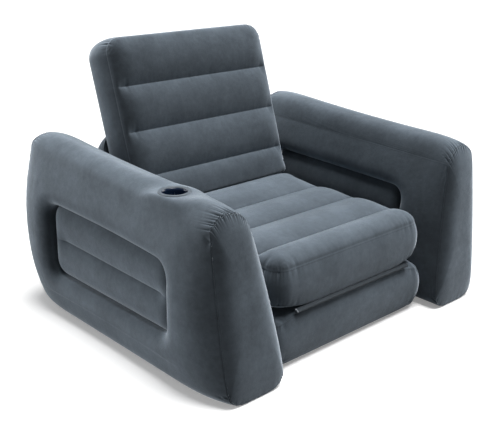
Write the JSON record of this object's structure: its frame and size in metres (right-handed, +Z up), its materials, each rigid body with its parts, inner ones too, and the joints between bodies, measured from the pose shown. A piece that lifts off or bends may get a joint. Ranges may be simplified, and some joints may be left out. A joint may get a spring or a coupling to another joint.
{
  "type": "inflatable chair bed",
  "caption": "Flocked inflatable armchair with recessed arms, a cup holder and channelled seat and backrest that unfold forward into a bed.",
  "frame": {"origin": "on the floor, under the middle of the chair's overall width and depth", "axes": "+X to the right of a viewer who faces the front, +Y to the back, +Z up; the front faces -Y"},
  "size_m": [1.1922, 1.0292, 0.8635],
  "materials": {
    "flock": "matte",
    "web_film": "satin",
    "cup_film": "gloss",
    "ring_film": "satin",
    "valve_plastic": "satin",
    "beam_film": "satin",
    "flap_rubber": "matte"
  },
  "bodies": {
    "frame": {"right_arm_rim": "flock", "right_arm_web": "flock", "right_arm_web_beam": "beam_film", "right_arm_front_cap": "flock", "right_arm_rear_cap": "flock", "left_arm_rim": "flock", "left_arm_web": "flock", "left_arm_web_beam": "beam_film", "left_arm_front_cap": "flock", "left_arm_rear_cap": "flock", "cup_holder_bowl": "cup_film", "cup_holder_ring": "ring_film", "frame_valve_flange": "valve_plastic", "base_cushion": "flock", "base_beam_1": "beam_film", "base_beam_2": "beam_film", "base_beam_3": "beam_film", "base_beam_4": "beam_film", "base_beam_5": "beam_film", "rear_bolster": "flock", "front_hinge_web_lower": "web_film"},
    "seat": {"seat_cushion": "flock", "seat_beam_1": "beam_film", "seat_beam_2": "beam_film", "seat_beam_3": "beam_film", "front_hinge_web_upper": "web_film", "rear_hinge_web_lower": "web_film"},
    "backrest": {"backrest_cushion": "flock", "backrest_beam_1": "beam_film", "backrest_beam_2": "beam_film", "backrest_beam_3": "beam_film", "bed_valve_flange": "valve_plastic", "rear_hinge_web_upper": "web_film"},
    "frame_valve_insert": {"frame_valve_insert": "valve_plastic", "frame_valve_flap": "flap_rubber"},
    "frame_valve_cap": {"frame_valve_cap": "valve_plastic"},
    "bed_valve_insert": {"bed_valve_insert": "valve_plastic", "bed_valve_flap": "flap_rubber"},
    "bed_valve_cap": {"bed_valve_cap": "valve_plastic"}
  },
  "joints": [
    {"name": "seat_unfold", "type": "hinge", "parent": "frame", "child": "seat", "pos_m": [0, -0.45646, 0.172], "axis": [1, 0, 0], "range_deg": [0, 180]},
    {"name": "backrest_unfold", "type": "hinge", "parent": "seat", "child": "backrest", "pos_m": [0, 0.16554, 0.33], "axis": [1, 0, 0], "range_deg": [-73, 0]},
    {"name": "frame_valve_pull", "type": "slide", "parent": "frame", "child": "frame_valve_insert", "axis": [0, 1, 0], "range_m": [0, 0.012]},
    {"name": "frame_valve_cap_open", "type": "hinge", "parent": "frame_valve_insert", "child": "frame_valve_cap", "pos_m": [0.446, 0.51247, 0.2654], "axis": [1, 0, 0], "range_deg": [0, 120]},
    {"name": "bed_valve_pull", "type": "slide", "parent": "backrest", "child": "bed_valve_insert", "axis": [1, 0, 0], "range_m": [0, 0.012]},
    {"name": "bed_valve_cap_open", "type": "hinge", "parent": "bed_valve_insert", "child": "bed_valve_cap", "pos_m": [0.33855, 0.34118, 0.64794], "axis": [0, -0.9563, 0.2924], "range_deg": [0, 120]}
  ],
  "couplings": [
    {"joint": "backrest_unfold", "follows": "seat_unfold", "ratio": -0.40556}
  ]
}
